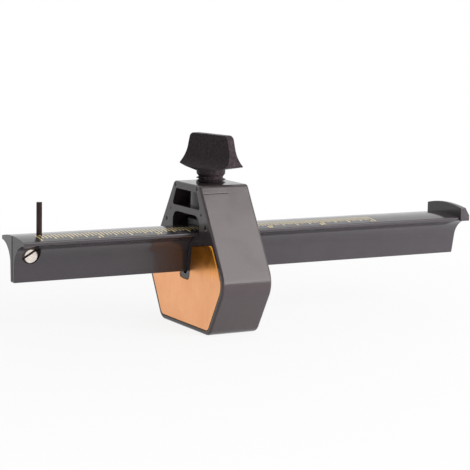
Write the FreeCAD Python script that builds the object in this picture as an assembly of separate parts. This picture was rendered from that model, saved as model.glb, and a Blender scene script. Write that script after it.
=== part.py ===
import FreeCAD, Part
import math
import os

# Marking gauge with a T-section beam, a six-sided head and a wing thumb knob.
# The beam slides through the head along X and the knob clamps it from above.
# Origin: middle of the flat foot under the head. +Z is up and -X is the pin end.
# All lengths are in millimetres.

Vector = FreeCAD.Vector

# Head, a hexagon seen along the beam
head_thickness = 22.3
head_height = 59.0
head_top_width = 22.2
head_widest = 67.0
head_widest_z = 21.6
head_foot_width = 42.2
head_top_radius = 1.8
head_side_radius = 10.0
head_foot_radius = 5.0
head_edge_radius = 0.9

# Beam section, seen along X, with heights from the lower edge of the web
beam_length = 208.6
beam_height = 18.3
flange_width = 22.6
crown_rise = 1.3
flange_tip_thickness = 1.5
flange_tip_radius = 0.5
web_foot_width = 3.0
web_neck_width = 4.0
web_neck_height = 8.5
web_foot_radius = 0.6
flare_middle_y = 5.0
flare_middle_z = 13.2
beam_foot_z = 23.3

# Hook that closes the far end of the beam
hook_width = 24.6
hook_height = 4.4
hook_thickness = 4.6
hook_crest = 1.5
hook_slope_height = 0.6
web_end_draft = 1.0

# Pin end of the beam, with the fin that the mould leaves down its middle
pin_end_draft = 0.35
pin_end_fin_width = 0.5
pin_end_fin_height = 0.2
pin_end_foot_radius = 0.6

# Setting shown: from the pin to the face of the head
setting = 63.9

# Scribing pin and the countersunk screw that wedges it in the beam
pin_diameter = 2.2
pin_length = 21.3
pin_point_length = 0.5
pin_offset_y = 0.4
pin_rest_height = 9.5
pin_clearance = 0.05
pin_touch_gap = 0.005
screw_from_end = 6.7
screw_height = 11.0
screw_head_diameter = 7.0
screw_thread_diameter = 4.0
screw_head_depth = 1.2
screw_head_land = 0.2
screw_slot_width = 0.9
screw_slot_depth = 0.7
screw_slot_turn = 30.0
screw_recess_gap = 0.3
screw_clearance = 0.05
insert_diameter = 6.0
insert_length = 1.5
insert_chamfer = 0.3

# Slot for the beam through the head
slot_clearance = 0.25
slot_foot_drop = 1.2
arch_height = 5.2
arch_radius = 4.0
relief_width = 2.1
relief_depth = 2.0
relief_from_face = 2.9

# Cored pocket above the slot, with the knob's boss standing in it
pocket_top_width = 17.8
pocket_foot_width = 24.2
pocket_foot_z = 49.3
pocket_height = 6.9
pocket_depth = 11.4
pocket_radius = 1.0
boss_diameter = 17.0

# Face plate set into the front of the head
plate_thickness = 1.5
plate_proud = 0.25
plate_margin = 2.0
plate_top_z = 33.1
plate_top_slope = 0.157
plate_corner_radius = 2.5
plate_notch_width = 7.6
plate_notch_mouth_width = 12.2
plate_notch_foot_z = 19.9
plate_notch_radius = 2.5
plate_gap = 0.3
plate_edge_chamfer = 0.25

# Clamp pad between the knob and the crown of the beam
pad_length = 13.0
pad_width = 17.0
pad_thickness = 2.2
pad_gap = 0.15
pad_radius = 2.0
pad_socket_depth = 1.2

# Thumb knob
thread_diameter = 12.0
thread_root_diameter = 9.9
thread_clearance = 0.1
thread_bared = 2.4
spigot_diameter = 5.0
spigot_length = 1.0
knob_thread_shown = 2.5
collar_diameter = 11.7
collar_height = 1.3
collar_taper_height = 1.2
wing_height = 14.65
wing_top_length = 22.4
wing_foot_length = 29.2
wing_base_length = 5.2
wing_tip_rise = 2.1
wing_thickness = 3.84
wing_straight_height = 5.5
wing_flare_radius = 10.1
wing_corner_radius = 2.4
wing_tip_radius = 1.0
wing_edge_radius = 0.5
knob_turn_shown = 13.0

# Places that follow from the sizes above
face_x = -head_thickness / 2
crown_z = beam_foot_z + beam_height
cone_reach = screw_head_diameter / 2 - screw_head_depth + pin_offset_y
pin_from_screw = cone_reach + math.sqrt(2) * (pin_diameter / 2 + pin_touch_gap)
pin_x = face_x - setting
beam_start_x = pin_x - pin_from_screw - screw_from_end
beam_end_x = beam_start_x + beam_length
screw_x = beam_start_x + screw_from_end
screw_z = beam_foot_z + screw_height
arch_z = crown_z + arch_height
collar_taper_z = head_height + knob_thread_shown
wing_foot_z = collar_taper_z + collar_taper_height + collar_height
wing_tip_z = wing_foot_z + wing_tip_rise
wing_top_z = wing_foot_z + wing_height
crown_radius = (flange_width ** 2 / 4 + crown_rise ** 2) / (2 * crown_rise)


def section_wire(points_and_arcs):
    """Closed wire from a list of segments: two points make a line, three an arc."""
    edges = []
    for segment in points_and_arcs:
        if len(segment) == 2:
            edges.append(Part.LineSegment(*segment).toShape())
        else:
            edges.append(Part.Arc(*segment).toShape())
    return Part.Wire(edges)


def rounded_prism(points, depth, radii):
    """Prism of a flat polygon along +X, with a radius for each of its long edges."""
    face = Part.Face(Part.makePolygon(points + [points[0]]))
    solid = face.extrude(Vector(depth, 0, 0))
    for point, radius in zip(points, radii):
        if radius > 0:
            long_edges = [edge for edge in solid.Edges if runs_along_x(edge, point)]
            solid = solid.makeFillet(radius, long_edges)
    return solid


def runs_along_x(edge, point):
    """True for an edge that lies on the line through the point along X."""
    ends = [vertex.Point for vertex in edge.Vertexes]
    return len(ends) == 2 and all(
        abs(end.y - point.y) < 1e-4 and abs(end.z - point.z) < 1e-4 for end in ends)


def edges_in_plane(solid, axis, value, tolerance=1e-3):
    """Edges of a solid that lie in the plane where a coordinate has one value."""
    found = []
    for edge in solid.Edges:
        low, high = bounds_along(edge, axis)
        if abs(low - value) < tolerance and abs(high - value) < tolerance:
            found.append(edge)
    return found


def bounds_along(shape, axis):
    """Lowest and highest coordinate of a shape along one axis."""
    box = shape.BoundBox
    return {
        "x": (box.XMin, box.XMax),
        "y": (box.YMin, box.YMax),
        "z": (box.ZMin, box.ZMax),
    }[axis]


def beam_section(x, margin=0.0):
    """Face of the beam's T section at x, grown by a margin on every side."""
    half_foot = web_foot_width / 2
    half_neck = web_neck_width / 2
    half_flange = flange_width / 2
    tip_top = crown_z - crown_rise
    tip_foot = tip_top - flange_tip_thickness
    neck_z = beam_foot_z + web_neck_height

    def at(y, z):
        return Vector(x, y, z)

    segments = [
        (at(-half_foot, beam_foot_z), at(half_foot, beam_foot_z)),
        (at(half_foot, beam_foot_z), at(half_neck, neck_z)),
        (at(half_neck, neck_z), at(flare_middle_y, beam_foot_z + flare_middle_z),
         at(half_flange, tip_foot)),
        (at(half_flange, tip_foot), at(half_flange, tip_top)),
        (at(half_flange, tip_top), at(0, crown_z), at(-half_flange, tip_top)),
        (at(-half_flange, tip_top), at(-half_flange, tip_foot)),
        (at(-half_flange, tip_foot), at(-flare_middle_y, beam_foot_z + flare_middle_z),
         at(-half_neck, neck_z)),
        (at(-half_neck, neck_z), at(-half_foot, beam_foot_z)),
    ]
    face = Part.Face(section_wire(segments))
    if margin > 0:
        face = face.makeOffset2D(margin, 0, False, False)
    return face


def cylinder(radius, height, start, direction):
    """Round bar from a start point along a direction."""
    return Part.makeCylinder(radius, height, start, direction)


def make_beam():
    """T-section beam with its hook, the pin's hole and the screw's recess."""
    bar = beam_section(beam_start_x).extrude(Vector(beam_length, 0, 0))
    tip_top = crown_z - crown_rise
    tip_foot = tip_top - flange_tip_thickness
    for side in (-1, 1):
        half_flange = side * flange_width / 2
        for z in (tip_top, tip_foot):
            tip = [e for e in bar.Edges if runs_along_x(e, Vector(0, half_flange, z))]
            bar = bar.makeFillet(flange_tip_radius, tip)
        foot_line = Vector(0, side * web_foot_width / 2, beam_foot_z)
        foot = [edge for edge in bar.Edges if runs_along_x(edge, foot_line)]
        bar = bar.makeFillet(web_foot_radius, foot)
    bar = bar.fuse(make_hook()).removeSplitter()
    bar = bar.cut(web_end_wedge()).cut(pin_end_corner())
    bar = bar.cut(pin_end_wedges()).fuse(pin_end_fin())
    return bar.cut(pin_and_screw_cuts())


def make_hook():
    """Upstanding hook: a wedge along the end, its top curved like the crown."""
    inner_x = beam_end_x - hook_thickness
    top_z = crown_z + hook_height
    tip_foot = crown_z - crown_rise - flange_tip_thickness
    knee_z = crown_z - hook_slope_height
    half = hook_width / 2
    outline = [
        Vector(inner_x, -half, tip_foot),
        Vector(beam_end_x, -half, tip_foot),
        Vector(beam_end_x, -half, knee_z),
        Vector(inner_x + hook_crest, -half, top_z),
        Vector(inner_x, -half, top_z),
    ]
    face = Part.Face(Part.makePolygon(outline + [outline[0]]))
    wedge = face.extrude(Vector(0, hook_width, 0))
    dome = cylinder(crown_radius, hook_thickness, Vector(inner_x, 0, top_z - crown_radius),
                    Vector(1, 0, 0))
    return wedge.common(dome)


def web_end_wedge():
    """Sliver taken off the end of the web, so that it leans in towards its foot."""
    neck_z = beam_foot_z + web_neck_height
    outline = [
        Vector(beam_end_x, -flange_width, neck_z),
        Vector(beam_end_x - web_end_draft, -flange_width, beam_foot_z - 1),
        Vector(beam_end_x + 1, -flange_width, beam_foot_z - 1),
        Vector(beam_end_x + 1, -flange_width, neck_z),
    ]
    face = Part.Face(Part.makePolygon(outline + [outline[0]]))
    return face.extrude(Vector(0, 2 * flange_width, 0))


def pin_end_wedges():
    """Slivers taken off the pin end, so that each half leans back from the middle."""
    half = flange_width
    lean = pin_end_draft * half / (flange_width / 2)
    outline = [
        Vector(beam_start_x, 0, beam_foot_z - 1),
        Vector(beam_start_x + lean, half, beam_foot_z - 1),
        Vector(beam_start_x - 1, half, beam_foot_z - 1),
        Vector(beam_start_x - 1, -half, beam_foot_z - 1),
        Vector(beam_start_x + lean, -half, beam_foot_z - 1),
    ]
    face = Part.Face(Part.makePolygon(outline + [outline[0]]))
    return face.extrude(Vector(0, 0, beam_height + 2))


def pin_end_corner():
    """Material outside the round at the foot of the pin end."""
    radius = pin_end_foot_radius
    block = Part.makeBox(radius + 1, flange_width, radius + 1,
                         Vector(beam_start_x - 1, -flange_width / 2, beam_foot_z - 1))
    bar = cylinder(radius, flange_width,
                   Vector(beam_start_x + radius, -flange_width / 2, beam_foot_z + radius),
                   Vector(0, 1, 0))
    return block.cut(bar)


def pin_end_fin():
    """Thin upright fin down the middle of the pin end, where the mould's halves met."""
    half = pin_end_fin_width / 2
    foot_z = beam_foot_z + pin_end_foot_radius
    outline = [
        Vector(beam_start_x - pin_end_fin_height, 0, foot_z),
        Vector(beam_start_x + half, half, foot_z),
        Vector(beam_start_x + half, -half, foot_z),
    ]
    face = Part.Face(Part.makePolygon(outline + [outline[0]]))
    return face.extrude(Vector(0, 0, crown_z - 0.1 - foot_z))


def pin_and_screw_cuts():
    """Pin hole, the screw's recess, its countersink and the insert's seat."""
    pin_radius = pin_diameter / 2 + pin_clearance
    hole_foot_z = beam_foot_z + pin_rest_height - 0.3
    hole = cylinder(pin_radius, crown_z + 1 - hole_foot_z,
                    Vector(pin_x, -pin_offset_y, hole_foot_z), Vector(0, 0, 1))
    recess_radius = screw_head_diameter / 2 + screw_recess_gap
    recess = cylinder(recess_radius, flange_width, Vector(screw_x, -screw_head_depth, screw_z),
                      Vector(0, -1, 0))
    thread_radius = screw_thread_diameter / 2 + screw_clearance
    cone_depth = recess_radius - thread_radius
    countersink = Part.makeCone(recess_radius, thread_radius, cone_depth,
                                Vector(screw_x, -screw_head_depth, screw_z), Vector(0, 1, 0))
    seat = cylinder(insert_diameter / 2, flange_width,
                    Vector(screw_x, web_neck_width / 2 - insert_length, screw_z),
                    Vector(0, 1, 0))
    thread = cylinder(thread_radius, web_neck_width,
                      Vector(screw_x, -web_neck_width / 2, screw_z), Vector(0, 1, 0))
    return hole.fuse([recess, countersink, seat, thread])


def make_pin():
    """Hardened steel pin, flat on top, with a small chamfer at its foot."""
    foot = Vector(pin_x, -pin_offset_y, beam_foot_z + pin_rest_height)
    radius = pin_diameter / 2
    shaft = cylinder(radius, pin_length - pin_point_length,
                     foot + Vector(0, 0, pin_point_length), Vector(0, 0, 1))
    lead = Part.makeCone(radius / 2, radius, pin_point_length, foot, Vector(0, 0, 1))
    return shaft.fuse(lead).removeSplitter()


def make_pin_screw():
    """Slotted countersunk screw, its cone wedged against the side of the pin."""
    top = Vector(screw_x, -screw_head_depth, screw_z)
    head_radius = screw_head_diameter / 2
    thread_radius = screw_thread_diameter / 2
    land = cylinder(head_radius, screw_head_land, top, Vector(0, -1, 0))
    cone = Part.makeCone(head_radius, thread_radius, head_radius - thread_radius, top,
                         Vector(0, 1, 0))
    shank = cylinder(thread_radius, screw_head_depth + web_neck_width / 2, top, Vector(0, 1, 0))
    slot = Part.makeBox(screw_head_diameter + 1, screw_slot_depth, screw_slot_width,
                        Vector(screw_x - head_radius - 0.5, -screw_head_depth - screw_head_land,
                               screw_z - screw_slot_width / 2))
    slot.rotate(top, Vector(0, -1, 0), screw_slot_turn)
    return land.fuse([cone, shank]).removeSplitter().cut(slot)


def make_insert():
    """Brass ring with the screw's thread, pressed in from the far side of the web."""
    start = Vector(screw_x, web_neck_width / 2 - insert_length, screw_z)
    ring = cylinder(insert_diameter / 2, insert_length, start, Vector(0, 1, 0))
    ring = ring.makeChamfer(insert_chamfer, edges_in_plane(ring, "y", web_neck_width / 2))
    bore = cylinder(screw_thread_diameter / 2 + screw_clearance, insert_length, start,
                    Vector(0, 1, 0))
    return ring.cut(bore)


def head_outline(x, margin=0.0):
    """Six corners of the head at x, moved inwards by a margin."""
    half_top = head_top_width / 2
    half_wide = head_widest / 2
    half_foot = head_foot_width / 2
    upper = math.hypot(half_wide - half_top, head_height - head_widest_z)
    lower = math.hypot(half_wide - half_foot, head_widest_z)
    upper_slope = (half_wide - half_top) / (head_height - head_widest_z)
    lower_slope = (half_wide - half_foot) / head_widest_z
    upper_shift = margin * upper / (head_height - head_widest_z)
    lower_shift = margin * lower / head_widest_z
    wide_z = head_widest_z + (upper_shift - lower_shift) / (upper_slope + lower_slope)
    wide_y = half_wide - upper_shift - upper_slope * (wide_z - head_widest_z)
    top_y = half_top - upper_shift + upper_slope * margin
    foot_y = half_foot - lower_shift + lower_slope * margin
    return [
        Vector(x, -foot_y, margin),
        Vector(x, foot_y, margin),
        Vector(x, wide_y, wide_z),
        Vector(x, top_y, head_height - margin),
        Vector(x, -top_y, head_height - margin),
        Vector(x, -wide_y, wide_z),
    ]


def head_radii(margin=0.0):
    """Corner radii of the head's outline, in the order of its corners."""
    foot = head_foot_radius - margin
    side = head_side_radius - margin
    return [foot, foot, side, head_top_radius, head_top_radius, side]


def make_head():
    """Moulded head: slot with its arch, pocket, knob bore and recess for the plate."""
    block = rounded_prism(head_outline(face_x), head_thickness, head_radii())
    rims = edges_in_plane(block, "x", face_x) + edges_in_plane(block, "x", -face_x)
    block = block.makeFillet(head_edge_radius, rims)
    cuts = [slot_cut(), knob_bore(), plate_body(plate_thickness - plate_proud, plate_gap)]
    cuts += [pocket_cut(), relief_cut()]
    for cut in cuts:
        block = block.cut(cut)
    return block


def slot_cut():
    """Slot for the beam: its T section with clearance, a round foot and the arch."""
    x = face_x - 1
    depth = head_thickness + 2
    section = beam_section(x, slot_clearance).extrude(Vector(depth, 0, 0))
    foot_radius = web_foot_width / 2 + slot_clearance
    foot_axis_z = beam_foot_z - slot_foot_drop + foot_radius
    foot = cylinder(foot_radius, depth, Vector(x, 0, foot_axis_z), Vector(1, 0, 0))
    half_arch = flange_width / 2 + slot_clearance
    tip_z = crown_z - crown_rise - flange_tip_thickness
    corners = [
        Vector(x, -half_arch, tip_z),
        Vector(x, half_arch, tip_z),
        Vector(x, half_arch, arch_z),
        Vector(x, -half_arch, arch_z),
    ]
    arch = rounded_prism(corners, depth, [0, 0, arch_radius, arch_radius])
    return section.fuse([foot, arch])


def knob_bore():
    """Round bore from the top of the head down into the arch."""
    radius = thread_diameter / 2 + thread_clearance
    return cylinder(radius, head_height - arch_z + 2, Vector(0, 0, arch_z - 1), Vector(0, 0, 1))


def pocket_cut():
    """Pocket cored from the front, which leaves the knob's boss standing."""
    top_z = pocket_foot_z + pocket_height
    corners = [
        Vector(face_x - 1, -pocket_foot_width / 2, pocket_foot_z),
        Vector(face_x - 1, pocket_foot_width / 2, pocket_foot_z),
        Vector(face_x - 1, pocket_top_width / 2, top_z),
        Vector(face_x - 1, -pocket_top_width / 2, top_z),
    ]
    hollow = rounded_prism(corners, pocket_depth + 1, [pocket_radius] * 4)
    boss = cylinder(boss_diameter / 2, head_height, Vector(0, 0, 0), Vector(0, 0, 1))
    return hollow.cut(boss)


def relief_cut():
    """Upright grooves in the side walls of the arch, just behind the front wall."""
    half_arch = flange_width / 2 + slot_clearance
    floor_z = crown_z - crown_rise
    height = arch_z - arch_radius - floor_z
    x = face_x + relief_from_face
    width = half_arch + relief_depth
    return Part.makeBox(relief_width, 2 * width, height, Vector(x, -width, floor_z))


def plate_body(depth, grow=0.0):
    """Face plate outline as a slab from the head's face inwards, grown by a gap."""
    margin = plate_margin - grow
    outline = rounded_prism(head_outline(face_x, margin), depth, head_radii(margin))
    top_z = plate_top_z + grow
    outer_z = top_z + plate_top_slope * head_widest
    corners = [
        Vector(face_x, -head_widest, 0),
        Vector(face_x, head_widest, 0),
        Vector(face_x, head_widest, outer_z),
        Vector(face_x, 0, top_z),
        Vector(face_x, -head_widest, outer_z),
    ]
    slab = outline.common(rounded_prism(corners, depth, [0] * 5))
    outer_corners = [edge for edge in slab.Edges if is_outer_corner(edge, top_z)]
    slab = slab.makeFillet(plate_corner_radius, outer_corners)
    return slab.cut(plate_notch(depth, top_z, grow))


def is_outer_corner(edge, top_z):
    """True for an edge along X that lies outside the middle and above one height."""
    across = bounds_along(edge, "y")
    upright = bounds_along(edge, "z")
    is_point = across[1] - across[0] < 1e-3 and upright[1] - upright[0] < 1e-3
    return is_point and abs(across[0]) > 1 and upright[0] > top_z


def plate_notch(depth, top_z, grow):
    """Notch in the plate that clears the web and the rim round its slot."""
    half_foot = plate_notch_width / 2 - grow
    half_mouth = plate_notch_mouth_width / 2 - grow
    foot_z = plate_notch_foot_z + grow
    mouth_z = top_z + plate_top_slope * half_mouth + 1
    corners = [
        Vector(face_x, -half_foot, foot_z),
        Vector(face_x, half_foot, foot_z),
        Vector(face_x, half_mouth, mouth_z),
        Vector(face_x, -half_mouth, mouth_z),
    ]
    radius = plate_notch_radius - grow
    return rounded_prism(corners, depth, [radius, radius, 0, 0])


def make_face_plate():
    """Metal face plate, standing a little proud of the head, its front edge chamfered."""
    plate = plate_body(plate_thickness)
    plate = plate.makeChamfer(plate_edge_chamfer, edges_in_plane(plate, "x", face_x))
    plate.translate(Vector(-plate_proud, 0, 0))
    return plate


def make_clamp_pad():
    """Pad with a hollow underside that fits the crown and a socket for the knob."""
    top_z = crown_z + pad_gap + pad_thickness
    block = Part.makeBox(pad_length, pad_width, 2 * pad_thickness,
                         Vector(-pad_length / 2, -pad_width / 2, top_z - 2 * pad_thickness))
    uprights = [edge for edge in block.Edges if bounds_along(edge, "z")[0] < top_z - pad_thickness
                and bounds_along(edge, "z")[1] > top_z - pad_thickness]
    block = block.makeFillet(pad_radius, uprights)
    crown = cylinder(crown_radius + pad_gap, pad_length + 2,
                     Vector(-pad_length / 2 - 1, 0, crown_z - crown_radius), Vector(1, 0, 0))
    socket = cylinder(spigot_diameter / 2 + thread_clearance, pad_socket_depth + 1,
                      Vector(0, 0, top_z - pad_socket_depth), Vector(0, 0, 1))
    return block.cut(crown).cut(socket)


def make_knob():
    """Wing knob: flared blade, collar, threaded shank and the spigot for the pad."""
    seat_z = crown_z + pad_gap + pad_thickness
    bared_z = head_height - thread_bared
    collar_z = collar_taper_z + collar_taper_height
    thread_radius = thread_diameter / 2
    root_radius = thread_root_diameter / 2
    collar_radius = collar_diameter / 2
    up = Vector(0, 0, 1)
    spigot = cylinder(spigot_diameter / 2, spigot_length, Vector(0, 0, seat_z - spigot_length), up)
    shank = cylinder(thread_radius, bared_z - seat_z, Vector(0, 0, seat_z), up)
    root = cylinder(root_radius, collar_taper_z - bared_z, Vector(0, 0, bared_z), up)
    taper = Part.makeCone(root_radius, collar_radius, collar_taper_height,
                          Vector(0, 0, collar_taper_z), up)
    collar = cylinder(collar_radius, wing_foot_z + 1 - collar_z, Vector(0, 0, collar_z), up)
    knob = make_wing().fuse([collar, taper, root, shank, spigot]).removeSplitter()
    knob.rotate(Vector(0, 0, 0), up, knob_turn_shown)
    return knob


def make_wing():
    """Blade that widens to its tips and whose faces flare out to the collar's width."""
    broad = wing_outline().extrude(Vector(collar_diameter, 0, 0))
    broad.translate(Vector(-collar_diameter / 2, 0, 0))
    corners = [edge for edge in broad.Edges if is_top_corner(edge, wing_top_z)]
    broad = broad.makeFillet(wing_corner_radius, corners)
    tips = [edge for edge in broad.Edges if is_top_corner(edge, wing_tip_z)]
    round_tipped = broad.makeFillet(wing_tip_radius, tips)
    narrow = wing_section().extrude(Vector(0, 2 * wing_foot_length, 0))
    narrow.translate(Vector(0, -wing_foot_length, 0))
    blade = broad.common(narrow).removeSplitter()
    rims = [edge for edge in blade.Edges if bounds_along(edge, "z")[1] > wing_tip_z + 0.01]
    return blade.makeFillet(wing_edge_radius, rims).common(round_tipped)


def wing_outline():
    """Face of the blade seen along X: sloping ends and an underside that rises to the tips."""
    half_top = wing_top_length / 2
    half_tip = wing_foot_length / 2
    half_base = wing_base_length / 2
    outline = [
        Vector(0, -half_base, wing_foot_z),
        Vector(0, half_base, wing_foot_z),
        Vector(0, half_tip, wing_tip_z),
        Vector(0, half_top, wing_top_z),
        Vector(0, -half_top, wing_top_z),
        Vector(0, -half_tip, wing_tip_z),
    ]
    return Part.Face(Part.makePolygon(outline + [outline[0]]))


def wing_section():
    """Face of the blade seen along Y: straight above, then flaring out on both sides."""
    half = wing_thickness / 2
    half_foot = collar_diameter / 2
    start_z = wing_top_z - wing_straight_height
    drop = math.sqrt(wing_flare_radius ** 2 - (wing_flare_radius + half - half_foot) ** 2)
    middle = half + wing_flare_radius - math.sqrt(wing_flare_radius ** 2 - drop ** 2 / 4)
    middle_z = start_z - drop / 2
    rim_z = start_z - drop

    def at(x, z):
        return Vector(x, 0, z)

    return Part.Face(section_wire([
        (at(half_foot, wing_foot_z), at(half_foot, rim_z)),
        (at(half_foot, rim_z), at(middle, middle_z), at(half, start_z)),
        (at(half, start_z), at(half, wing_top_z)),
        (at(half, wing_top_z), at(-half, wing_top_z)),
        (at(-half, wing_top_z), at(-half, start_z)),
        (at(-half, start_z), at(-middle, middle_z), at(-half_foot, rim_z)),
        (at(-half_foot, rim_z), at(-half_foot, wing_foot_z)),
        (at(-half_foot, wing_foot_z), at(half_foot, wing_foot_z)),
    ]))


def is_top_corner(edge, top_z):
    """True for an edge along X that lies at one height."""
    low, high = bounds_along(edge, "z")
    across = bounds_along(edge, "y")
    return abs(low - top_z) < 1e-3 and abs(high - top_z) < 1e-3 and across[1] - across[0] < 1e-3


def main():
    nodes = {
        "head": make_head(),
        "face_plate": make_face_plate(),
        "beam": make_beam(),
        "scribing_pin": make_pin(),
        "pin_screw": make_pin_screw(),
        "pin_screw_insert": make_insert(),
        "clamp_pad": make_clamp_pad(),
        "thumb_knob": make_knob(),
    }
    os.makedirs("parts", exist_ok=True)
    for name, shape in nodes.items():
        shape.exportStep("parts/" + name + ".step")
        print(name, "solids", len(shape.Solids), "valid", shape.isValid(),
              "volume", round(shape.Volume, 1))


main()
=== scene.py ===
# %% [markdown]
# # A marking gauge in a light studio
#
# A marking gauge scribes a line parallel to the edge of a board. A plastic beam with a pin slides
# through a head, and a wing knob clamps it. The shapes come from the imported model, already in
# place. This script gives every piece its finish, adds the scale and the screw thread, and lights
# the gauge for a picture.

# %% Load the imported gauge
import math

import bpy
from mathutils import Matrix, Vector


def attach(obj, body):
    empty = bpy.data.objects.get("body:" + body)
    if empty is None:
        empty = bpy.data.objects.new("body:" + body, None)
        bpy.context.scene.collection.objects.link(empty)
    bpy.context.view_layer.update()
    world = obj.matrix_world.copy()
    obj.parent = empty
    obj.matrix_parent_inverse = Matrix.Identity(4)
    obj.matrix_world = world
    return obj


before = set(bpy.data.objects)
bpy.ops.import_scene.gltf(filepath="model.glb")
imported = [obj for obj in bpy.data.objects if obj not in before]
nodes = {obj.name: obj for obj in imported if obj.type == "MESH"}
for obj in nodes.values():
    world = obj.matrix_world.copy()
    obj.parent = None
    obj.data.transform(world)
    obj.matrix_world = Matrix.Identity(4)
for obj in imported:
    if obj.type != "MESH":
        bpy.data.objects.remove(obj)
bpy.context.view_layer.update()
MM = 0.001
for name in sorted(nodes):
    print(name, len(nodes[name].data.polygons), "triangles")

# %% [markdown]
# ## Effects that several finishes share
#
# A finish on a real tool is a base colour plus what moulding, handling and light wear add to it.
# Each of those effects is a shader node group here, built once with named inputs, and every
# material sets its own amounts. A copy of the same nodes in each material would be longer and
# harder to keep alike.

# %% Small helpers for shader nodes


def feed(tree, socket, value):
    """Gives an input a plain value, or a link from another socket."""
    if isinstance(value, bpy.types.NodeSocket):
        tree.links.new(value, socket)
    else:
        socket.default_value = value


def add_node(tree, kind, values=None, **settings):
    """A new shader node with its settings and what goes into its inputs."""
    node = tree.nodes.new(kind)
    for key, value in settings.items():
        setattr(node, key, value)
    for key, value in (values or {}).items():
        feed(tree, node.inputs[key], value)
    return node


def new_group(name, inputs, outputs):
    """An empty shader group. Inputs map a label to a value, and outputs are labels."""
    group = bpy.data.node_groups.new(name, "ShaderNodeTree")
    for label, value in inputs.items():
        kind = "NodeSocketVector" if isinstance(value, tuple) else "NodeSocketFloat"
        socket = group.interface.new_socket(label, in_out="INPUT", socket_type=kind)
        socket.default_value = value
    for label in outputs:
        group.interface.new_socket(label, in_out="OUTPUT", socket_type="NodeSocketFloat")
    start = group.nodes.new("NodeGroupInput")
    end = group.nodes.new("NodeGroupOutput")
    return group, start.outputs, end.inputs


def use_group(tree, group, **values):
    """Places a shared effect with this material's own amounts, and gives its outputs."""
    labels = {key.replace("_", " "): value for key, value in values.items()}
    return add_node(tree, "ShaderNodeGroup", labels, node_tree=group).outputs


def math_node(tree, operation, first, second=None, clamp=False):
    """A Math node whose inputs are sockets or plain numbers."""
    values = {0: first} if second is None else {0: first, 1: second}
    node = add_node(tree, "ShaderNodeMath", values, operation=operation, use_clamp=clamp)
    return node.outputs[0]


def vector_node(tree, operation, first, second=None):
    """A Vector Math node whose inputs are sockets or plain vectors."""
    values = {0: first} if second is None else {0: first, 1: second}
    node = add_node(tree, "ShaderNodeVectorMath", values, operation=operation)
    return node.outputs["Value" if operation in ("DOT_PRODUCT", "LENGTH") else "Vector"]


def ramp_node(tree, source, low, high, to_low=0.0, to_high=1.0):
    """A smooth change from one value to another as the source goes from low to high."""
    values = {"Value": source, "From Min": low, "From Max": high, "To Min": to_low,
              "To Max": to_high}
    node = add_node(tree, "ShaderNodeMapRange", values, interpolation_type="SMOOTHSTEP")
    return node.outputs["Result"]


def noise_node(tree, place, **values):
    """A noise, from 0 to 1, over a place."""
    return add_node(tree, "ShaderNodeTexNoise", {"Vector": place, **values}).outputs["Fac"]


def object_place(tree):
    """Object coordinates, in metres, which stay with a piece when it moves."""
    return tree.nodes.new("ShaderNodeTexCoord").outputs["Object"]


def surface_normal(tree):
    """The direction that the surface faces."""
    return tree.nodes.new("ShaderNodeNewGeometry").outputs["Normal"]


def axes_of(tree, vector):
    """The X, Y and Z of a vector."""
    return add_node(tree, "ShaderNodeSeparateXYZ", {"Vector": vector}).outputs


# %% [markdown]
# ### Moulded grain
#
# Plastic copies the steel of its mould, so a moulded face has a fine, soft pebble. Two noises of
# different sizes give a height, which each material turns into a bump. The grain size is in
# millimetres, and a noise's scale counts its cells in a metre, so one is divided by the other.

# %% Moulded grain
BROAD_SCALE = 45.0


def build_moulded_grain():
    group, given, out = new_group("Moulded Grain", {"Grain Size": 0.4, "Waviness": 0.3},
                                  ["Height"])
    place = object_place(group)
    scale = math_node(group, "DIVIDE", 1.0 / MM, given["Grain Size"])
    fine = noise_node(group, place, Scale=scale, Detail=3.0, Roughness=0.55)
    broad = noise_node(group, place, Scale=BROAD_SCALE, Detail=1.0)
    wave = math_node(group, "MULTIPLY", broad, given["Waviness"])
    feed(group, out["Height"], math_node(group, "ADD", fine, wave))
    return group


moulded_grain = build_moulded_grain()

# %% [markdown]
# ### Edge wear
#
# Corners are rubbed by hands and by the bench, so they go paler and smoother first. The Bevel node
# gives the normal of a rounded copy of the surface. Where that differs from the true normal there
# is an edge. A noise breaks the wear into patches.

# %% Edge wear
EDGE_BEND = (0.02, 0.2)
WORN_PATCHES = (0.38, 0.62)


def build_edge_wear():
    group, given, out = new_group(
        "Edge Wear", {"Width": 0.6 * MM, "Amount": 0.6, "Patch Scale": 160.0}, ["Mask"])
    bevel = add_node(group, "ShaderNodeBevel", {"Radius": given["Width"]}, samples=6)
    alike = vector_node(group, "DOT_PRODUCT", bevel.outputs["Normal"], surface_normal(group))
    edge = ramp_node(group, math_node(group, "SUBTRACT", 1.0, alike, clamp=True), *EDGE_BEND)
    patches = noise_node(group, object_place(group), Scale=given["Patch Scale"], Detail=4.0,
                         Roughness=0.65)
    worn = math_node(group, "MULTIPLY", edge, ramp_node(group, patches, *WORN_PATCHES))
    feed(group, out["Mask"], math_node(group, "MULTIPLY", worn, given["Amount"], clamp=True))
    return group


edge_wear = build_edge_wear()

# %% [markdown]
# ### Handling marks
#
# Fingers leave a blotchy film that dulls a shine a little here and there. The group puts out a
# roughness between two limits and a mask that can tint the colour as well.

# %% Handling marks
BLOTCHES = (0.35, 0.68)


def build_handling_marks():
    group, given, out = new_group(
        "Handling Marks", {"Blotch Scale": 60.0, "Smooth": 0.2, "Dull": 0.4},
        ["Roughness", "Mask"])
    noise = noise_node(group, object_place(group), Scale=given["Blotch Scale"], Detail=5.0,
                       Roughness=0.6, Distortion=0.4)
    mask = ramp_node(group, noise, *BLOTCHES)
    feed(group, out["Mask"], mask)
    feed(group, out["Roughness"],
         ramp_node(group, mask, 0.0, 1.0, given["Smooth"], given["Dull"]))
    return group


handling_marks = build_handling_marks()

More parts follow.
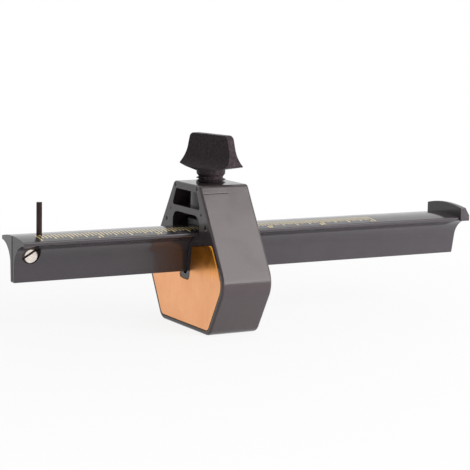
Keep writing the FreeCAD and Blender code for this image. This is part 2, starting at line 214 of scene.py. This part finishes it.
# %% [markdown]
# ### Fine lines
#
# Rolled and brushed metal and rubbed plastic carry fine lines that all run one way. Noise that is
# squeezed across the lines and stretched along them draws them. The group takes the squeeze as a
# vector. A higher coverage lowers the limit above which the noise counts as a line.

# %% Fine lines
LINE_LIMIT = 0.72
LIMIT_DROP = 0.3
LINE_SOFTNESS = 0.08


def build_fine_lines():
    group, given, out = new_group(
        "Fine Lines", {"Squeeze": (1.0, 1.0, 1.0), "Coverage": 0.5}, ["Height", "Mask"])
    squeezed = vector_node(group, "MULTIPLY", object_place(group), given["Squeeze"])
    noise = noise_node(group, squeezed, Scale=1.0, Detail=4.0, Roughness=0.7)
    drop = math_node(group, "MULTIPLY", given["Coverage"], LIMIT_DROP)
    limit = math_node(group, "SUBTRACT", LINE_LIMIT, drop)
    upper = math_node(group, "ADD", limit, LINE_SOFTNESS)
    feed(group, out["Height"], noise)
    feed(group, out["Mask"], ramp_node(group, noise, limit, upper))
    return group


fine_lines = build_fine_lines()

# %% [markdown]
# ### Settled dust
#
# A little dust lies on faces that look up. It is pale and rough, and it is thin enough to be seen
# only where light rakes over it.

# %% Settled dust
LOOKING_UP = (0.2, 0.95)
DUST_SPECKS = (0.52, 0.72)


def build_dust():
    group, given, out = new_group("Settled Dust", {"Amount": 0.2, "Speck Scale": 900.0}, ["Mask"])
    upward = ramp_node(group, axes_of(group, surface_normal(group))["Z"], *LOOKING_UP)
    noise = noise_node(group, object_place(group), Scale=given["Speck Scale"], Detail=5.0,
                       Roughness=0.75)
    lying = math_node(group, "MULTIPLY", upward, ramp_node(group, noise, *DUST_SPECKS))
    feed(group, out["Mask"], math_node(group, "MULTIPLY", lying, given["Amount"], clamp=True))
    return group


settled_dust = build_dust()

# %% [markdown]
# ### Mould marks
#
# The head's front shows where the mould's ejector pins pushed it out: small round dimples in
# mirrored pairs. The first group works on the distance from the middle plane, so one use of it
# makes both dimples of a pair. The second draws the fine sink line that crosses the front part of
# each upper side, level with the pocket. Both stop at an X, behind which the head has no marks.

# %% Mould marks
DIMPLE_FLOOR = 0.7
LOOKING_SIDEWAYS = 0.8


def build_round_marks():
    group, given, out = new_group(
        "Round Marks",
        {"Side": 10.0 * MM, "Height": 50.0 * MM, "Radius": 0.7 * MM, "Ahead Of": 0.0}, ["Mask"])
    place = axes_of(group, object_place(group))
    side = math_node(group, "SUBTRACT", math_node(group, "ABSOLUTE", place["Y"]), given["Side"])
    height = math_node(group, "SUBTRACT", place["Z"], given["Height"])
    squares = math_node(group, "ADD", math_node(group, "MULTIPLY", side, side),
                        math_node(group, "MULTIPLY", height, height))
    inner = math_node(group, "MULTIPLY", given["Radius"], DIMPLE_FLOOR)
    disc = ramp_node(group, math_node(group, "SQRT", squares), inner, given["Radius"], 1.0, 0.0)
    in_front = math_node(group, "LESS_THAN", place["X"], given["Ahead Of"])
    feed(group, out["Mask"], math_node(group, "MULTIPLY", disc, in_front))
    return group


def build_sink_line():
    group, given, out = new_group(
        "Sink Line", {"Height": 50.0 * MM, "Ahead Of": 0.0, "Width": 0.3 * MM}, ["Mask"])
    place = axes_of(group, object_place(group))
    offset = math_node(group, "ABSOLUTE",
                       math_node(group, "SUBTRACT", place["Z"], given["Height"]))
    line = ramp_node(group, offset, 0.0, given["Width"], 1.0, 0.0)
    in_front = math_node(group, "LESS_THAN", place["X"], given["Ahead Of"])
    sideways = math_node(group, "ABSOLUTE", axes_of(group, surface_normal(group))["Y"])
    on_side = math_node(group, "GREATER_THAN", sideways, LOOKING_SIDEWAYS)
    line = math_node(group, "MULTIPLY", line, in_front)
    feed(group, out["Mask"], math_node(group, "MULTIPLY", line, on_side))
    return group


round_marks = build_round_marks()
sink_line = build_sink_line()
print("shared effects:", [group.name for group in bpy.data.node_groups])

# %% [markdown]
# ## Finishes
#
# Every finish starts from the Principled BSDF. Values that are the same all over the surface are
# set on the shader itself, and only what changes over the surface comes through nodes.

# %% Helpers for finishes


def new_finish(name, **values):
    """A material with a Principled BSDF whose plain values are set on its own sockets."""
    material = bpy.data.materials.new(name)
    material.use_nodes = True
    tree, shader = parts_of(material)
    for key, value in values.items():
        shader.inputs[key.replace("_", " ")].default_value = value
    return material, tree, shader


def parts_of(material):
    """The node tree of a material and its Principled BSDF."""
    return material.node_tree, material.node_tree.nodes["Principled BSDF"]


def scaled(color, share):
    """A colour made brighter or darker, but never brighter than white."""
    return tuple(min(1.0, value * share) for value in color)


def blend_colors(tree, factor, first, second):
    """Mixes two colours by a mask. A colour is a socket or three numbers."""
    first, second = ((*color, 1.0) if isinstance(color, tuple) else color
                     for color in (first, second))
    mix = add_node(tree, "ShaderNodeMix", {"Factor": factor, 6: first, 7: second},
                   data_type="RGBA")
    return mix.outputs[2]


def cover(material, mask, color):
    """Lays one more colour over a finish where a mask says."""
    tree, shader = parts_of(material)
    base = shader.inputs["Base Color"]
    feed(tree, base, blend_colors(tree, mask, base.links[0].from_socket, color))


def add_bump(material, height, strength, distance):
    """Lays one more bump over what already turns a finish's normal."""
    tree, shader = parts_of(material)
    normal = shader.inputs["Normal"]
    values = {"Height": height, "Strength": strength, "Distance": distance}
    if normal.links:
        values["Normal"] = normal.links[0].from_socket
    feed(tree, normal, add_node(tree, "ShaderNodeBump", values).outputs["Normal"])


def dress(node, material):
    """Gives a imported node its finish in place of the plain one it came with."""
    mesh = nodes[node].data
    mesh.materials.clear()
    mesh.materials.append(material)


# %% [markdown]
# ### Black plastics
#
# The beam is polished so that it slides, the head is satin and the knob has a coarse, dull grain
# so that it grips. All three are charcoal plastic, and so is the pad that the knob presses on the
# beam. One function makes all four from the shared effects, because they differ only in amounts.

# %% Moulded plastic
PLASTIC_IOR = 1.5
FILM_TINT = 1.12
GRAIN_CRESTS = (0.55, 0.85)
GRAIN_BUMP = 0.35
LINE_BUMP = 0.15
LINE_DULLING = 0.08
RUB_LINE_DEPTH = 0.01 * MM
DUST_COLOR = (0.42, 0.4, 0.37)
DUST_DULLING = 0.4


def moulded_plastic(name, color, worn_color, smooth, dull, grain_size, grain_depth, wear,
                    rub_lines, dust, shine=0.5, crest_highlight=1.0):
    """Dark moulded plastic with grain, rubbed edges, handling film, fine rub lines and dust.

    Shine is the specular level, and the crest highlight is how much brighter the crests of the
    grain are painted: a painted highlight where light would catch them.
    """
    material, tree, shader = new_finish(name, IOR=PLASTIC_IOR, Specular_IOR_Level=shine)
    film = use_group(tree, handling_marks, Smooth=smooth, Dull=dull, Blotch_Scale=90.0)
    edges = use_group(tree, edge_wear, Amount=wear)
    grain = use_group(tree, moulded_grain, Grain_Size=grain_size)
    lines = use_group(tree, fine_lines, Squeeze=rub_lines, Coverage=0.25)
    dusty = use_group(tree, settled_dust, Amount=dust)
    shade = blend_colors(tree, film["Mask"], color, scaled(color, FILM_TINT))
    # Painted highlight: the crests of the grain are painted brighter, where light would catch
    # them.
    crests = ramp_node(tree, grain["Height"], *GRAIN_CRESTS)
    shade = blend_colors(tree, crests, shade, scaled(color, crest_highlight))
    shade = blend_colors(tree, edges["Mask"], shade, worn_color)
    shade = blend_colors(tree, dusty["Mask"], shade, DUST_COLOR)
    feed(tree, shader.inputs["Base Color"], shade)
    rough = math_node(tree, "ADD", film["Roughness"],
                      math_node(tree, "MULTIPLY", lines["Mask"], LINE_DULLING))
    rough = math_node(tree, "ADD", rough,
                      math_node(tree, "MULTIPLY", dusty["Mask"], DUST_DULLING), clamp=True)
    feed(tree, shader.inputs["Roughness"], rough)
    add_bump(material, grain["Height"], GRAIN_BUMP, grain_depth)
    add_bump(material, lines["Mask"], LINE_BUMP, -RUB_LINE_DEPTH)
    return material


# %% Head, beam, knob and pad
head_finish = moulded_plastic(
    "satin_head_plastic", color=(0.056, 0.045, 0.048), worn_color=(0.14, 0.12, 0.12),
    smooth=0.13, dull=0.2, grain_size=0.35, grain_depth=0.012 * MM, wear=0.5,
    rub_lines=(40.0, 600.0, 600.0), dust=0.08)
beam_finish = moulded_plastic(
    "polished_beam_plastic", color=(0.041, 0.0365, 0.042), worn_color=(0.1, 0.09, 0.095),
    smooth=0.12, dull=0.18, grain_size=0.6, grain_depth=0.004 * MM, wear=0.45,
    rub_lines=(25.0, 1500.0, 1500.0), dust=0.06)
# The knob's pale rubbed edges are partly wear and partly a painted highlight along its rims.
knob_finish = moulded_plastic(
    "grippy_knob_plastic", color=(0.03, 0.023, 0.025), worn_color=(0.1, 0.085, 0.088),
    smooth=0.3, dull=0.42, grain_size=1.1, grain_depth=0.3 * MM, wear=0.9,
    rub_lines=(400.0, 60.0, 400.0), dust=0.1, shine=0.08, crest_highlight=1.8)
pad_finish = moulded_plastic(
    "dull_pad_plastic", color=(0.04, 0.04, 0.04), worn_color=(0.09, 0.09, 0.09),
    smooth=0.45, dull=0.6, grain_size=0.4, grain_depth=0.03 * MM, wear=0.3,
    rub_lines=(300.0, 300.0, 300.0), dust=0.2)
plastics = {"head": head_finish, "beam": beam_finish, "thumb_knob": knob_finish,
            "clamp_pad": pad_finish}
for node, material in plastics.items():
    dress(node, material)
    print(node, "wears", material.name)

# %% [markdown]
# ### Marks on the head
#
# The dimples could be cut into the head, but they are shallow, so a mask in the head's own finish
# draws them: it drives a bump and paints them nearly black, a painted shade as in a small hole.
# The finish reads Object coordinates, so the marks keep their places on the head.

# %% Marks on the head
PAINTED_HOLE_SHADE = (0.003, 0.003, 0.003)
MARKS_AHEAD_OF = -10.9 * MM
MARK_DEPTH = 0.3 * MM
# Each pair in millimetres: from the middle plane, above the foot, and the radius.
EJECTOR_MARKS = [(9.2, 57.5, 0.95), (13.0, 47.5, 0.7), (16.6, 42.8, 1.15)]
SINK_LINE_HEIGHT = 56.0 * MM
SINK_LINE_AHEAD_OF = 1.0 * MM
SINK_LINE_SHARE = 0.4


def add_mould_marks(material):
    """Sinks the pairs of round marks and the sink line into the head's finish.

    A black metal mirrors nothing, so a round mark is painted as dark as the shade in a small hole.
    """
    tree, shader = parts_of(material)
    pairs = [use_group(tree, round_marks, Side=side * MM, Height=height * MM,
                       Radius=radius * MM, Ahead_Of=MARKS_AHEAD_OF)["Mask"]
             for side, height, radius in EJECTOR_MARKS]
    marks = pairs[0]
    for pair in pairs[1:]:
        marks = math_node(tree, "MAXIMUM", marks, pair)
    # Painted shade: the marks are painted nearly black, as the shade inside a pit.
    cover(material, marks, PAINTED_HOLE_SHADE)
    feed(tree, shader.inputs["Metallic"], marks)
    line = use_group(tree, sink_line, Height=SINK_LINE_HEIGHT, Ahead_Of=SINK_LINE_AHEAD_OF)
    shallow = math_node(tree, "MULTIPLY", line["Mask"], SINK_LINE_SHARE)
    add_bump(material, math_node(tree, "MAXIMUM", marks, shallow), 1.0, -MARK_DEPTH)


add_mould_marks(head_finish)
print("the head has", len(EJECTOR_MARKS), "pairs of ejector marks")

# %% [markdown]
# ### Copper-coloured face plate
#
# The wear plate is rolled copper alloy. It has fine vertical rolling lines, a soft patchy tarnish
# and paler rubbed corners. Its upper part is painted a warmer, deeper orange: a painted reflection
# of the dark beam above it. Metallic is 1, so its colour is its reflection. The turned brass
# insert for the pin's screw, on the far side of the beam, is made alike.

# %% Rolled metal
STREAK_SHARE = 0.25
STREAK_SHADE = 0.8
RUBBED_SHADE = 1.15
WORN_WIDTH = 0.4 * MM
ROLLED_LINE_DEPTH = 0.005 * MM


def rolled_metal(name, bright, tarnish, squeeze, smooth, dull, tarnish_share, wear):
    """Rolled or turned metal: lines along one way, patchy tarnish and bright rubbed edges."""
    material, tree, shader = new_finish(name, Metallic=1.0)
    film = use_group(tree, handling_marks, Smooth=smooth, Dull=dull, Blotch_Scale=70.0)
    lines = use_group(tree, fine_lines, Squeeze=squeeze, Coverage=0.6)
    edges = use_group(tree, edge_wear, Amount=wear, Width=WORN_WIDTH)
    patch = math_node(tree, "MULTIPLY", film["Mask"], tarnish_share)
    shade = blend_colors(tree, patch, bright, tarnish)
    streak = math_node(tree, "MULTIPLY", lines["Mask"], STREAK_SHARE)
    shade = blend_colors(tree, streak, shade, scaled(bright, STREAK_SHADE))
    shade = blend_colors(tree, edges["Mask"], shade, scaled(bright, RUBBED_SHADE))
    feed(tree, shader.inputs["Base Color"], shade)
    rough = math_node(tree, "ADD", film["Roughness"],
                      math_node(tree, "MULTIPLY", lines["Mask"], LINE_DULLING), clamp=True)
    feed(tree, shader.inputs["Roughness"], rough)
    add_bump(material, lines["Height"], LINE_BUMP, ROLLED_LINE_DEPTH)
    return material


# %% Face plate and insert
REFLECTION_START, REFLECTION_END = 21.0 * MM, 32.0 * MM
PAINTED_REFLECTION_COPPER = (1.0, 0.38, 0.03)


def tint_upward(material, low, high, color):
    """Paints a reflection into a metal's colour, changing it from one height to another."""
    tree = material.node_tree
    # Painted reflection: the colour turns warmer with height, where the beam is mirrored in the
    # plate.
    cover(material, ramp_node(tree, axes_of(tree, object_place(tree))["Z"], low, high), color)


copper_finish = rolled_metal(
    "rolled_copper_plate", bright=(0.87, 0.42, 0.195), tarnish=(0.81, 0.37, 0.16),
    squeeze=(200.0, 2600.0, 60.0), smooth=0.27, dull=0.36, tarnish_share=0.5, wear=0.6)
tint_upward(copper_finish, REFLECTION_START, REFLECTION_END, PAINTED_REFLECTION_COPPER)
brass_finish = rolled_metal(
    "turned_brass", bright=(0.72, 0.52, 0.22), tarnish=(0.55, 0.38, 0.16),
    squeeze=(1500.0, 200.0, 1500.0), smooth=0.25, dull=0.4, tarnish_share=0.5, wear=0.5)
dress("face_plate", copper_finish)
dress("pin_screw_insert", brass_finish)
print("face plate and insert wear", copper_finish.name, "and", brass_finish.name)

# %% [markdown]
# ### Nickel screw and dark steel pin
#
# The screw's head is bright nickel plate with turning marks. Its slot and one side of the head are
# painted dark: painted shade from the recess around the head and from the slot's depth, so the
# lit round is centred a little off the screw. The pin is oil-blackened hard steel with a brown
# cast.

# %% Screw and pin
LIT_ROUND_CENTRE = (-78.763 * MM, -1.4 * MM, 33.35 * MM)
LIT_ROUND_RADIUS = 2.4 * MM
SHADED_SLOT_DEPTH = 0.1 * MM
RIM_SOFTNESS = 0.4 * MM
SLOT_SOFTNESS = 0.2 * MM
PAINTED_RECESS_SHADE = (0.06, 0.045, 0.04)


def add_grime(material):
    """Paints shade past a radius around a line along Y, and past a depth, as in a screw's slot."""
    tree = material.node_tree
    offset = vector_node(tree, "SUBTRACT", object_place(tree), LIT_ROUND_CENTRE)
    across = vector_node(tree, "MULTIPLY", offset, (1.0, 0.0, 1.0))
    outside = ramp_node(tree, vector_node(tree, "LENGTH", across), LIT_ROUND_RADIUS,
                        LIT_ROUND_RADIUS + RIM_SOFTNESS)
    below = ramp_node(tree, axes_of(tree, offset)["Y"], SHADED_SLOT_DEPTH, SHADED_SLOT_DEPTH + SLOT_SOFTNESS)
    # Painted shade: the rim and the slot are darkened as if the recess shaded them.
    cover(material, math_node(tree, "MAXIMUM", outside, below), PAINTED_RECESS_SHADE)


nickel_finish = rolled_metal(
    "nickel_plate", bright=(0.8, 0.74, 0.68), tarnish=(0.45, 0.4, 0.36),
    squeeze=(900.0, 200.0, 900.0), smooth=0.16, dull=0.3, tarnish_share=0.7, wear=0.4)
add_grime(nickel_finish)
steel_finish = rolled_metal(
    "blackened_steel", bright=(0.05, 0.034, 0.032), tarnish=(0.03, 0.02, 0.019),
    squeeze=(3000.0, 3000.0, 90.0), smooth=0.32, dull=0.48, tarnish_share=0.6, wear=0.5)
dress("pin_screw", nickel_finish)
dress("scribing_pin", steel_finish)
print("screw and pin wear", nickel_finish.name, "and", steel_finish.name)

# %% [markdown]
# ## Thread of the knob
#
# The knob's shank carries a right-hand thread of 1.25 mm pitch, and two of its crests show above
# the head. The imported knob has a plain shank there. A small tapered outline swept by the Screw
# modifier gives the ridge, and the shank stays inside it.

# %% Helpers for modelled pieces


def select_only(pieces):
    """Selects some pieces and nothing else, with the first as the active one."""
    bpy.ops.object.select_all(action="DESELECT")
    for piece in pieces:
        piece.select_set(True)
    bpy.context.view_layer.objects.active = pieces[0]


def select_vertices(mesh, test):
    """Selects the vertices of a mesh for which a test holds, as edit mode expects it."""
    for part in (mesh.vertices, mesh.edges, mesh.polygons):
        part.foreach_set("select", [False] * len(part))
    for vertex in mesh.vertices:
        vertex.select = test(vertex.co)


def settle(piece):
    """Applies place, turn and size, so that the piece's object sits at the origin."""
    select_only([piece])
    bpy.ops.object.transform_apply(location=True, rotation=True, scale=True)


def finish_modifiers(piece):
    """Applies every modifier of a piece, in order."""
    select_only([piece])
    for modifier in list(piece.modifiers):
        bpy.ops.object.modifier_apply(modifier=modifier.name)


# %% Knob thread
THREAD_PITCH = 1.25 * MM
THREAD_FOOT = 56.65 * MM
THREAD_TURNS = 3.6
THREAD_STEPS = 116
RIDGE_SIZE = 1.2 * MM
RIDGE_MIDDLE = 5.4 * MM
CREST_SHARE = 0.1


def make_thread():
    bpy.ops.object.select_all(action="DESELECT")
    bpy.ops.mesh.primitive_plane_add(size=RIDGE_SIZE, location=(RIDGE_MIDDLE, 0.0, THREAD_FOOT),
                                     rotation=(math.pi / 2, 0.0, 0.0))
    thread = bpy.context.object
    thread.name = "knob_thread"
    settle(thread)
    select_vertices(thread.data, lambda place: place.x > RIDGE_MIDDLE)
    bpy.ops.object.mode_set(mode="EDIT")
    bpy.ops.transform.resize(value=(1.0, 1.0, CREST_SHARE))
    bpy.ops.mesh.select_all(action="SELECT")
    bpy.ops.mesh.delete(type="ONLY_FACE")
    bpy.ops.object.mode_set(mode="OBJECT")
    screw = thread.modifiers.new("screw", "SCREW")
    screw.angle = THREAD_TURNS * 2.0 * math.pi
    screw.screw_offset = THREAD_TURNS * THREAD_PITCH
    screw.steps = screw.render_steps = THREAD_STEPS
    screw.use_merge_vertices = False
    finish_modifiers(thread)
    bpy.ops.object.mode_set(mode="EDIT")
    bpy.ops.mesh.select_all(action="SELECT")
    bpy.ops.mesh.fill_holes(sides=4)
    bpy.ops.mesh.select_all(action="SELECT")
    bpy.ops.mesh.normals_make_consistent(inside=False)
    bpy.ops.object.mode_set(mode="OBJECT")
    bpy.ops.object.shade_smooth_by_angle(angle=math.radians(30.0))
    thread.data.materials.append(knob_finish)
    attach(thread, "knob")
    return thread


knob_thread = make_thread()
thread_heights = [vertex.co.z / MM for vertex in knob_thread.data.vertices]
print("thread from", round(min(thread_heights), 2), "to", round(max(thread_heights), 2), "mm")

# %% [markdown]
# ## Scale on the beam
#
# The crown of the beam carries a printed scale: six inches in sixteenths, with longer marks at the
# quarters, halves and inches, and plain numbers. The marks start as flat planes above the beam.
# The Shrinkwrap modifier drops them on the curved crown and Solidify gives the paint its
# thickness.

# %% Paint of the scale
FRESH_PAINT = (0.9, 0.73, 0.32)
HANDLED_PAINT = (0.82, 0.65, 0.26)
RUBBED_PAINT = (0.3, 0.24, 0.09)
RUBBED_SHARE = 0.3


def paint_finish():
    """Yellow marking paint, a little thin and rubbed in places."""
    material, tree, shader = new_finish("yellow_marking_paint", IOR=PLASTIC_IOR,
                                        Specular_IOR_Level=1.0)
    film = use_group(tree, handling_marks, Smooth=0.08, Dull=0.14, Blotch_Scale=220.0)
    lines = use_group(tree, fine_lines, Squeeze=(60.0, 1500.0, 1500.0), Coverage=0.3)
    shade = blend_colors(tree, film["Mask"], FRESH_PAINT, HANDLED_PAINT)
    rubbed = math_node(tree, "MULTIPLY", lines["Mask"], RUBBED_SHARE)
    shade = blend_colors(tree, rubbed, shade, RUBBED_PAINT)
    feed(tree, shader.inputs["Base Color"], shade)
    feed(tree, shader.inputs["Roughness"], film["Roughness"])
    return material


# %% Scale marks
INCH = 25.4 * MM
INCHES = 6
SCALE_ZERO = -77.55 * MM
SCALE_START_Y = -2.2 * MM
CROWN_Z = 41.6 * MM
START_HEIGHT = CROWN_Z + 2.0 * MM
MARK_WIDTH = 0.55 * MM
MARK_LENGTHS = {16: 7.6, 8: 7.0, 4: 6.4, 2: 5.3, 1: 4.8}
NUMBER_SIZE = 3.0 * MM
NUMBER_BOLDER = 0.07 * MM
NUMBER_BESIDE = 1.55 * MM
NUMBER_Y = -10.15 * MM
PAINT_LIFT = 0.02 * MM
PAINT_THICKNESS = 0.03 * MM


def mark_length(sixteenth):
    """Length of a mark, longest where it falls on the coarsest division."""
    for division, length in MARK_LENGTHS.items():
        if sixteenth % division == 0:
            return length * MM


def add_mark(sixteenth):
    """One mark as a narrow plane with cuts along its length, so that it can follow the crown."""
    length = mark_length(sixteenth)
    x = SCALE_ZERO + sixteenth * INCH / 16
    bpy.ops.object.select_all(action="DESELECT")
    bpy.ops.mesh.primitive_grid_add(x_subdivisions=1, y_subdivisions=6, size=1.0,
                                    location=(x, SCALE_START_Y - length / 2, START_HEIGHT))
    mark = bpy.context.object
    mark.scale = (MARK_WIDTH, length, 1.0)
    return mark


def add_number(number):
    """A plain number beside its inch mark, made a mesh before it is placed."""
    bpy.ops.object.select_all(action="DESELECT")
    bpy.ops.object.text_add()
    text = bpy.context.object
    text.data.body = str(number)
    text.data.size = NUMBER_SIZE
    text.data.align_x = "CENTER"
    text.data.offset = NUMBER_BOLDER
    bpy.ops.object.convert(target="MESH")
    numeral = bpy.context.object
    numeral.location = (SCALE_ZERO + number * INCH - NUMBER_BESIDE, NUMBER_Y, START_HEIGHT)
    return numeral


def make_scale():
    parts = [add_mark(sixteenth) for sixteenth in range(INCHES * 16 + 1)]
    parts += [add_number(number) for number in range(1, INCHES + 1)]
    select_only(parts)
    bpy.ops.object.join()
    scale = bpy.context.object
    scale.name = "scale_marks"
    settle(scale)
    wrap = scale.modifiers.new("lay on crown", "SHRINKWRAP")
    wrap.target = nodes["beam"]
    wrap.wrap_method = "PROJECT"
    wrap.use_project_z = True
    wrap.use_negative_direction = True
    wrap.use_positive_direction = False
    wrap.offset = PAINT_LIFT
    paint = scale.modifiers.new("paint thickness", "SOLIDIFY")
    paint.thickness = PAINT_THICKNESS
    paint.offset = 0.0
    finish_modifiers(scale)
    scale.data.materials.clear()
    scale.data.materials.append(paint_finish())
    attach(scale, "beam")
    return scale


scale_marks = make_scale()
print("scale has", len(scale_marks.data.polygons), "faces")

# %% [markdown]
# ## Studio
#
# The picture has a white ground. Strong lamps could bleach the floor to white, but they would
# bleach the gauge as well. So the white is the colour of the floor and the world, seen by the
# camera and in reflections, and all of it lights the gauge at a plain level.

# %% Helpers for the studio
WHITE = (1.0, 1.0, 1.0)


def seen_directly(tree):
    """A mask that is 1 for rays from the camera, from a reflection or through glass."""
    path = tree.nodes.new("ShaderNodeLightPath").outputs
    seen = math_node(tree, "MAXIMUM", path["Is Camera Ray"], path["Is Glossy Ray"])
    return math_node(tree, "MAXIMUM", seen, path["Is Transmission Ray"])


def show_mix(tree, share, first, second, end):
    """Shows the first surface where the share is 0 and the second where it is 1."""
    mix = add_node(tree, "ShaderNodeMixShader",
                   {0: share, 1: first.outputs[0], 2: second.outputs[0]})
    feed(tree, end.inputs["Surface"], mix.outputs[0])


# %% [markdown]
# ### World
#
# The world is white where it is seen or mirrored, apart from a dark room high up behind the
# camera, which faces that lean back mirror. What lights the gauge is a plainer colour, brighter
# from the right than from the left.

# %% World
LIGHT_FROM_LEFT = (0.1, 0.095, 0.095)
LIGHT_FROM_RIGHT = (0.7, 0.67, 0.67)
LEFT_TO_RIGHT = (-0.7, 0.3)
DARK_ROOM = (0.3, 0.28, 0.29)
FRONT_TO_BACK = (-0.5, 0.1)
LOW_TO_HIGH = (0.1, 0.35)


def build_world():
    """A world with one colour that lights the gauge and another that is seen and mirrored."""
    world = bpy.data.worlds.new("pale_studio")
    world.use_nodes = True
    tree = world.node_tree
    tree.nodes.clear()
    direction = axes_of(tree, tree.nodes.new("ShaderNodeTexCoord").outputs["Generated"])
    from_right = ramp_node(tree, direction["X"], *LEFT_TO_RIGHT)
    light = blend_colors(tree, from_right, LIGHT_FROM_LEFT, LIGHT_FROM_RIGHT)
    behind = ramp_node(tree, direction["Y"], *FRONT_TO_BACK)
    low = ramp_node(tree, direction["Z"], *LOW_TO_HIGH, 1.0, 0.0)
    backdrop = math_node(tree, "MAXIMUM", behind, low)
    room = blend_colors(tree, backdrop, DARK_ROOM, WHITE)
    lighting, shown = (add_node(tree, "ShaderNodeBackground", {"Color": color, "Strength": 1.0})
                       for color in (light, room))
    end = tree.nodes.new("ShaderNodeOutputWorld")
    show_mix(tree, seen_directly(tree), lighting, shown, end)
    bpy.context.scene.world = world


build_world()

# %% [markdown]
# ### Floor
#
# The floor melts into the white with the distance. Near the gauge it keeps a part of its own
# shading, so that the shadow shows.

# %% Floor
FLOOR_SIZE = 6.0
FLOOR_GREY = (0.9, 0.9, 0.9, 1.0)
NEAR_TO_FAR = (0.02, 0.35)
WHITE_SHARE = (0.87, 1.0)


def build_floor():
    """A white floor that shows the gauge's shadow near it and melts into the distance."""
    bpy.ops.mesh.primitive_plane_add(size=FLOOR_SIZE, location=(0.0, 0.0, 0.0))
    floor = bpy.context.object
    floor.name = "floor"
    material, tree, shader = new_finish("white_floor", Roughness=0.9, Base_Color=FLOOR_GREY)
    distance = vector_node(tree, "LENGTH", object_place(tree))
    far = ramp_node(tree, distance, *NEAR_TO_FAR, *WHITE_SHARE)
    share = math_node(tree, "MULTIPLY", far, seen_directly(tree))
    white = add_node(tree, "ShaderNodeEmission", {"Color": (*WHITE, 1.0), "Strength": 1.0})
    show_mix(tree, share, shader, white, tree.nodes["Material Output"])
    floor.data.materials.append(material)


build_floor()

# %% [markdown]
# ### Lamps
#
# Three soft lamps shape the gauge: a broad one from the front right, which the head's side mirrors
# down to its widest corner, a low one close to the right end for the web and the flare, and a weak
# one from the left for the head's front.

# %% Lamps
LAMP_COLOR = (1.0, 0.97, 0.96)
LAMP_AIM = Vector((0.0, 0.0, 0.04))


def soft_lamp(name, place, size, power, mirrored=True):
    """A soft lamp turned to the gauge. Shiny faces mirror it or leave it out."""
    data = bpy.data.lights.new(name, "AREA")
    data.shape = "RECTANGLE"
    data.size, data.size_y = size
    data.energy = power
    data.color = LAMP_COLOR
    lamp = bpy.data.objects.new(name, data)
    bpy.context.scene.collection.objects.link(lamp)
    lamp.visible_glossy = mirrored
    lamp.location = place
    lamp.rotation_euler = (LAMP_AIM - Vector(place)).to_track_quat("-Z", "Y").to_euler()


soft_lamp("key", place=(0.3, -0.62, 0.35), size=(0.5, 0.66), power=4.2)
soft_lamp("fill", place=(0.26, -0.22, 0.02), size=(0.3, 0.03), power=1.0, mirrored=False)
soft_lamp("side", place=(-0.8, -0.1, 0.35), size=(0.5, 0.5), power=0.12)
print("lamps:", [lamp.name for lamp in bpy.data.lights])

# %% [markdown]
# ## Camera
#
# The photograph looks down the beam from its pin end, 8 degrees down and about 30 degrees off
# square. A long lens keeps the far end nearly as large as the near one.

# %% Camera
PHOTO_SIZE = 470
FOCAL_PIXELS = 1628.56
SENSOR_WIDTH = 36.0
CAMERA_PLACE = (-0.315, -0.57755, 0.132755)
YAW, PITCH, ROLL = math.radians(29.506), math.radians(8.239), math.radians(1.17)

camera_data = bpy.data.cameras.new("camera")
camera_data.sensor_width = SENSOR_WIDTH
camera_data.lens = FOCAL_PIXELS * SENSOR_WIDTH / PHOTO_SIZE
camera_data.clip_start = 0.05
camera = bpy.data.objects.new("camera", camera_data)
bpy.context.scene.collection.objects.link(camera)
ahead = Vector((math.sin(YAW) * math.cos(PITCH), math.cos(YAW) * math.cos(PITCH),
                -math.sin(PITCH)))
across = Vector((math.cos(YAW), -math.sin(YAW), 0.0))
upward = across.cross(ahead)
right = math.cos(ROLL) * across + math.sin(ROLL) * upward
top = -math.sin(ROLL) * across + math.cos(ROLL) * upward
turn = Matrix((right, top, -ahead)).transposed()
camera.matrix_world = Matrix.Translation(CAMERA_PLACE) @ turn.to_4x4()
bpy.context.scene.camera = camera
bpy.context.scene.view_settings.view_transform = "Standard"
print("lens", round(camera_data.lens, 1), "mm")
